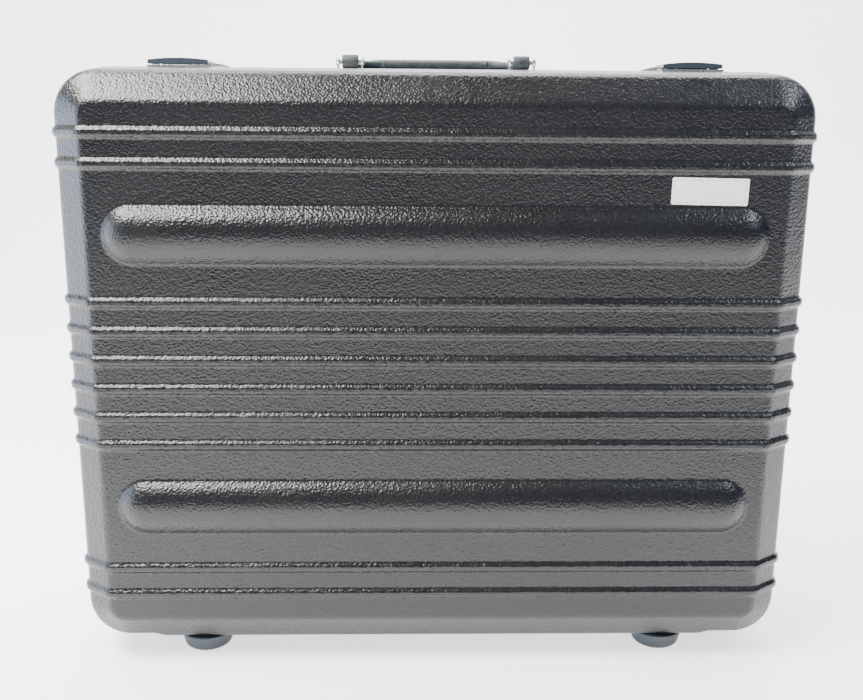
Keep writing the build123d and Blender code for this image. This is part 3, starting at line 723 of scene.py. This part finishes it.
# ------------------------------------------------------------------ feet
def build_foot(node, body, settings):
    """A tapered foot with a rolled rim, a screw well and two grip grooves underneath."""
    lo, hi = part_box(node)
    middle = (lo + hi) / 2
    top, height = (hi.x - lo.x) / 2, hi.z - lo.z
    bottom = top - 2.5 * MM
    outline = [(5.5 * MM, 5 * MM), (5.5 * MM, 0.7 * MM), (6.2 * MM, 0)]
    for ring in (8.5, 11.2):
        outline += [(ring * MM, 0), (ring * MM + 0.3 * MM, 0.7 * MM), (ring * MM + 0.9 * MM, 0.7 * MM)]
        outline += [(ring * MM + 1.2 * MM, 0)]
    round_r = 4 * MM
    for i in range(9):
        a = pi / 2 * i / 8
        outline.append((bottom - round_r + round_r * sin(a), round_r - round_r * cos(a)))
    outline += [(top - 0.3 * MM, height - 1.6 * MM), (top, height - 1.1 * MM), (top, height)]
    outline += [(2 * MM, height), (2 * MM, 5 * MM), (5.5 * MM, 5 * MM)]
    bm = bmesh.new()
    lathe(bm, outline, lambda a, b, h: Vector((middle.x + a, middle.y + b, lo.z + h)), 72)
    mesh = mesh_from(bm, f"{node}_moulding", outward_from=middle)
    obj = link(f"{node}_moulding", mesh, material("foot_rubber", settings), body)
    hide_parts(node)
    return obj


# ------------------------------------------------------------------ pieces carried over from the frame
def dress(node, name, settings):
    """Gives a carried-over CAD node its material."""
    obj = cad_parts[node]
    obj.data.materials.clear()
    obj.data.materials.append(material(name, settings))
    return obj


# ------------------------------------------------------------------ label
def build_label(settings):
    """A thin, flat rounded sticker."""
    lo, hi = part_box("blank_label")
    middle = (lo + hi) / 2
    half = (hi - lo) / 2
    tilt = radians(settings.label_tilt)
    wide, tall, corner = 26.7 * MM, 9.3 * MM, 1.2 * MM
    turn = Matrix.Rotation(tilt, 3, "Y")
    bm = bmesh.new()
    rows = []
    count = 40
    for y in (hi.y, lo.y):
        row = []
        for k in range(4 * count):
            quarter, part = divmod(k, count)
            a = pi / 2 * (quarter + part / (count - 1))
            cx = (wide - corner) * (1 if quarter in (0, 3) else -1)
            cz = (tall - corner) * (1 if quarter in (0, 1) else -1)
            offset = turn @ Vector((cx + corner * cos(a), 0, cz + corner * sin(a)))
            row.append(Vector((middle.x + offset.x, y, middle.z + offset.z)))
        rows.append(row)
    rings = add_grid(bm, rows, closed=True)
    for ring in rings:
        bm.faces.new(ring)
    mesh = mesh_from(bm, "ruled_label", outward_from=middle)
    obj = link("ruled_label", mesh, ruled_paper(settings, middle, half), "lid", smooth=False)
    bevel(obj, 0.08 * MM, 2)
    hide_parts("blank_label")
    return obj


# ------------------------------------------------------------------ stage
def area_light(name, place, target, width, height, power, colour):
    """A soft rectangular lamp that faces a point."""
    data = bpy.data.lights.new(name, "AREA")
    data.shape = "RECTANGLE"
    data.size, data.size_y = width, height
    data.energy = power
    data.color = colour
    lamp = bpy.data.objects.new(name, data)
    bpy.context.scene.collection.objects.link(lamp)
    aim = Vector(target) - Vector(place)
    lamp.visible_camera = False
    lamp.matrix_world = Matrix.Translation(place) @ aim.to_track_quat("-Z", "Y").to_matrix().to_4x4()
    return lamp


def build_floor(settings):
    """A pale floor that curves up into a backdrop."""
    bm = bmesh.new()
    rows = []
    bend, back, reach = 1.2, 2.4, 5.0
    line = [(-4.0, 0.0), (back - bend, 0.0)]
    for i in range(1, 17):
        turn = pi / 2 * i / 16
        line.append((back - bend + bend * sin(turn), bend - bend * cos(turn)))
    line.append((back, 4.0))
    for y, z in line:
        rows.append([Vector((x, y, z)) for x in (-reach, 0.0, reach)])
    add_grid(bm, rows)
    mesh = mesh_from(bm, "sweep")
    obj = link("sweep", mesh, studio_white("studio_white", settings.floor_value, settings.floor_glow), None)
    return obj


def build_world(settings):
    """Soft surrounding light: paler and bluer to the left, dimmer to the right."""
    world = bpy.data.worlds.new("studio")
    bpy.context.scene.world = world
    world.use_nodes = True
    tree = world.node_tree
    background = tree.nodes["Background"]
    where = tree.nodes.new("ShaderNodeTexCoord")
    axes = tree.nodes.new("ShaderNodeSeparateXYZ")
    ramp = tree.nodes.new("ShaderNodeValToRGB")
    spread = tree.nodes.new("ShaderNodeMapRange")
    tree.links.new(where.outputs["Generated"], axes.inputs[0])
    tree.links.new(axes.outputs["X"], spread.inputs[0])
    spread.inputs[1].default_value, spread.inputs[2].default_value = -1.0, 1.0
    tree.links.new(spread.outputs[0], ramp.inputs[0])
    ramp.color_ramp.elements[0].color = rgba(settings.left_light)
    ramp.color_ramp.elements[1].color = rgba(settings.right_light)
    centre = ramp.color_ramp.elements.new(0.5)
    centre.color = rgba(settings.middle_light)
    tree.links.new(ramp.outputs[0], background.inputs["Color"])
    background.inputs["Strength"].default_value = settings.world_strength


def build_camera(settings):
    """The camera, a little left of centre and above, looking slightly down."""
    data = bpy.data.cameras.new("view")
    data.lens = settings.lens
    data.sensor_width = 36
    data.clip_start = 0.01
    camera = bpy.data.objects.new("view", data)
    bpy.context.scene.collection.objects.link(camera)
    pitch, yaw, roll = settings.pitch, settings.yaw, settings.roll
    turn = Matrix.Rotation(-yaw, 4, "Z")
    turn = turn @ Matrix.Rotation(pi / 2 - pitch, 4, "X") @ Matrix.Rotation(roll, 4, "Z")
    camera.matrix_world = Matrix.Translation(settings.camera_place) @ turn
    bpy.context.scene.camera = camera


# ------------------------------------------------------------------ settings
class CaseSettings(bpy.types.PropertyGroup):
    rib_pitch: FloatProperty(name="Rib pitch", description="Distance between neighbouring ribs",
                             default=20.85 * MM, unit="LENGTH")
    rib_pair: FloatProperty(name="Rib pair height", default=158.1 * MM, unit="LENGTH",
                            description="Middle of the outer pairs from the face's middle")
    bar_offset: FloatProperty(name="Bar height", description="Middle of each bar from the face's middle",
                              default=99.5 * MM, unit="LENGTH")
    bar_half_length: FloatProperty(name="Bar half length", description="Half of a bar's length",
                                   default=231 * MM, unit="LENGTH")
    bar_half_width: FloatProperty(name="Bar half width", description="Half of a bar's width",
                                  default=20.4 * MM, unit="LENGTH")
    grain_size: FloatProperty(name="Grain size", description="Width of one pebble of the shell's grain",
                              default=1.5 * MM, unit="LENGTH")
    grain_depth: FloatProperty(name="Grain depth", description="Depth of the shell's grain",
                               default=0.42 * MM, unit="LENGTH")
    shell_roughness: FloatProperty(name="Shell roughness", description="Roughness between the grain's pebbles",
                                   default=0.27, subtype="FACTOR")
    shell_colour: FloatVectorProperty(name="Shell colour", description="Colour of the moulded shells",
                                      default=(0.0045, 0.005, 0.006), subtype="COLOR")
    hasp_colour: FloatVectorProperty(name="Hasp colour", description="Paint on the latch covers",
                                     default=(0.055, 0.072, 0.095), subtype="COLOR")
    grip_colour: FloatVectorProperty(name="Grip colour", description="Colour of the handle's skin",
                                     default=(0.032, 0.042, 0.048), subtype="COLOR")
    foot_colour: FloatVectorProperty(name="Foot colour", description="Colour of the rubber feet",
                                     default=(0.03, 0.04, 0.05), subtype="COLOR")
    foam_colour: FloatVectorProperty(name="Foam colour", description="Colour of the foam",
                                     default=(0.035, 0.036, 0.04), subtype="COLOR")
    label_colour: FloatVectorProperty(name="Label colour", description="Colour of the label stock",
                                      default=(0.86, 0.86, 0.86), subtype="COLOR")
    label_tilt: FloatProperty(name="Label tilt", description="How far the label is turned, in degrees",
                              default=0.9)
    pivot_x: FloatProperty(name="Handle pivot", description="Middle of a handle knuckle from the centre",
                           default=64 * MM, unit="LENGTH")
    pivot_back: FloatProperty(name="Pivot depth", description="Handle pivot behind the parting plane",
                              default=11 * MM, unit="LENGTH")
    handle_throw: FloatProperty(name="Handle throw", description="Handle pivot to the middle of the grip",
                                default=34 * MM, unit="LENGTH")
    grip_half: FloatProperty(name="Grip half length", description="Half of the grip's full section",
                             default=44 * MM, unit="LENGTH")
    floor_value: FloatProperty(name="Floor", description="How pale the floor is",
                               default=0.92, subtype="FACTOR")
    floor_glow: FloatProperty(name="Floor glow", description="Light that the floor itself gives", default=1.6)
    world_strength: FloatProperty(name="Surround", description="Strength of the surrounding light", default=0.4)
    left_light: FloatVectorProperty(name="Left light", description="Surrounding light from the left",
                                    default=(1.0, 1.06, 1.25), subtype="COLOR", max=4.0)
    middle_light: FloatVectorProperty(name="Middle light", description="Surrounding light from the middle",
                                      default=(0.95, 0.95, 0.95), subtype="COLOR", max=4.0)
    right_light: FloatVectorProperty(name="Right light", description="Surrounding light from the right",
                                     default=(0.35, 0.46, 0.8), subtype="COLOR", max=4.0)
    camera_place: FloatVectorProperty(name="Camera", description="Place of the camera",
                                      default=(-0.0207, -0.7786, 0.4064), subtype="TRANSLATION", unit="LENGTH")
    pitch: FloatProperty(name="Pitch", description="How far the camera looks down", default=0.2285,
                         subtype="ANGLE", unit="ROTATION")
    yaw: FloatProperty(name="Yaw", description="How far the camera looks to the right", default=0.0245,
                       subtype="ANGLE", unit="ROTATION")
    roll: FloatProperty(name="Roll", description="How far the camera is tilted", default=0.008,
                        subtype="ANGLE", unit="ROTATION")
    lens: FloatProperty(name="Lens", description="Focal length on a 36 mm sensor", default=41.63)


# ------------------------------------------------------------------ operators
class CaseOperator:
    """What every operator here shares."""

    bl_options = {"REGISTER", "UNDO"}

    def execute(self, context):
        self.build(context.scene.case_settings)
        return {"FINISHED"}


class CASE_OT_shells(CaseOperator, bpy.types.Operator):
    """Builds both moulded shells"""

    bl_idname = "case.shells"
    bl_label = "Shells"

    def build(self, settings):
        build_shell("ribbed_lid_shell", "lid_shell", "lid", LID_DEPTH, LID_LAND, lid_point, settings)
        build_shell("ribbed_base_shell", "base_shell", "base", BASE_DEPTH, BASE_LAND, base_point, settings)


class CASE_OT_rims(CaseOperator, bpy.types.Operator):
    """Finishes the two aluminium rims"""

    bl_idname = "case.rims"
    bl_label = "Rims"

    def build(self, settings):
        for node in ("lid_rim", "base_rim"):
            dress(node, "rim_aluminium", settings)


class CASE_OT_foam(CaseOperator, bpy.types.Operator):
    """Builds the foam in the base and in the lid"""

    bl_idname = "case.foam"
    bl_label = "Foam"

    def build(self, settings):
        build_base_foam(settings)
        build_lid_foam(settings)


class CASE_OT_handle(CaseOperator, bpy.types.Operator):
    """Builds the grip and finishes its brackets and pins"""

    bl_idname = "case.handle"
    bl_label = "Handle"

    def build(self, settings):
        build_grip(settings)
        for side in ("left", "right"):
            dress(f"handle_bracket_{side}", "hardware_zinc", settings)
            dress(f"handle_pin_{side}", "hardware_zinc", settings)
        dress("handle_rivets", "hardware_zinc", settings)
        dress("handle_backing_strip", "hardware_zinc", settings)
        dress("handle_core", "hardware_zinc", settings)


class CASE_OT_latches(CaseOperator, bpy.types.Operator):
    """Finishes the latch covers and the latch hardware"""

    bl_idname = "case.latches"
    bl_label = "Latches"

    def build(self, settings):
        for side in ("left", "right"):
            dress(f"latch_{side}_hasp", "hasp_enamel", settings)
            dress(f"latch_{side}_button", "button_steel", settings)
            for piece in ("plate", "pin", "spring"):
                dress(f"latch_{side}_{piece}", "hardware_zinc", settings)
            dress(f"strike_{side}", "hardware_zinc", settings)
        for node in ("latch_rivets", "strike_rivets"):
            dress(node, "hardware_zinc", settings)


class CASE_OT_feet(CaseOperator, bpy.types.Operator):
    """Builds the four rubber feet and finishes their screws"""

    bl_idname = "case.feet"
    bl_label = "Feet"

    def build(self, settings):
        for half in ("lid", "base"):
            for side in ("left", "right"):
                build_foot(f"{half}_foot_{side}", half, settings)
            dress(f"{half}_foot_screws", "hardware_zinc", settings)


class CASE_OT_hinges(CaseOperator, bpy.types.Operator):
    """Finishes the hinges under the case"""

    bl_idname = "case.hinges"
    bl_label = "Hinges"

    def build(self, settings):
        for place in ("left", "middle", "right"):
            for piece in ("lid_leaf", "base_leaf", "pin"):
                dress(f"hinge_{place}_{piece}", "hardware_zinc", settings)
        for node in ("hinge_lid_rivets", "hinge_base_rivets"):
            dress(node, "hardware_zinc", settings)


class CASE_OT_label(CaseOperator, bpy.types.Operator):
    """Builds the plain label on the lid"""

    bl_idname = "case.label"
    bl_label = "Label"

    def build(self, settings):
        build_label(settings)


class CASE_OT_stage(CaseOperator, bpy.types.Operator):
    """Sets up the floor, the lights and the camera"""

    bl_idname = "case.stage"
    bl_label = "Stage"

    def build(self, settings):
        build_floor(settings)
        build_world(settings)
        build_camera(settings)
        area_light("overhead", (-0.70, -0.38, 1.30), (-0.15, 0.0, 0.35), 0.9, 0.55, 60.0, (1.0, 0.96, 0.90))
        area_light("window", (-1.6, -0.15, 0.40), (-0.25, -0.05, 0.20), 1.4, 1.0, 30.0, (0.72, 0.84, 1.0))
        area_light("far_corner", (0.85, -0.35, 1.05), (0.26, -0.05, 0.40), 0.3, 0.3, 5.0, (0.85, 0.92, 1.0))
        area_light("backdrop", (0.0, 0.9, 2.4), (0.0, 1.2, 0.0), 2.6, 1.2, 120.0, (1.0, 1.0, 1.0))


OPERATORS = (
    CASE_OT_shells, CASE_OT_rims, CASE_OT_foam, CASE_OT_handle, CASE_OT_latches, CASE_OT_feet,
    CASE_OT_hinges, CASE_OT_label, CASE_OT_stage,
)


class CASE_PT_panel(bpy.types.Panel):
    """Lists the pieces of the case"""

    bl_idname = "CASE_PT_panel"
    bl_label = "Carrying case"
    bl_space_type = "VIEW_3D"
    bl_region_type = "UI"
    bl_category = "Case"

    def draw(self, context):
        settings = context.scene.case_settings
        for name in CaseSettings.__annotations__:
            self.layout.prop(settings, name)
        for operator in OPERATORS:
            self.layout.operator(operator.bl_idname)


CLASSES = (CaseSettings, *OPERATORS, CASE_PT_panel)


def register():
    for cls in CLASSES:
        bpy.utils.register_class(cls)
    bpy.types.Scene.case_settings = PointerProperty(type=CaseSettings)


def unregister():
    del bpy.types.Scene.case_settings
    for cls in reversed(CLASSES):
        bpy.utils.unregister_class(cls)


def main():
    register()
    for operator in OPERATORS:
        family, name = operator.bl_idname.split(".")
        getattr(getattr(bpy.ops, family), name)()


if __name__ == "__main__":
    main()
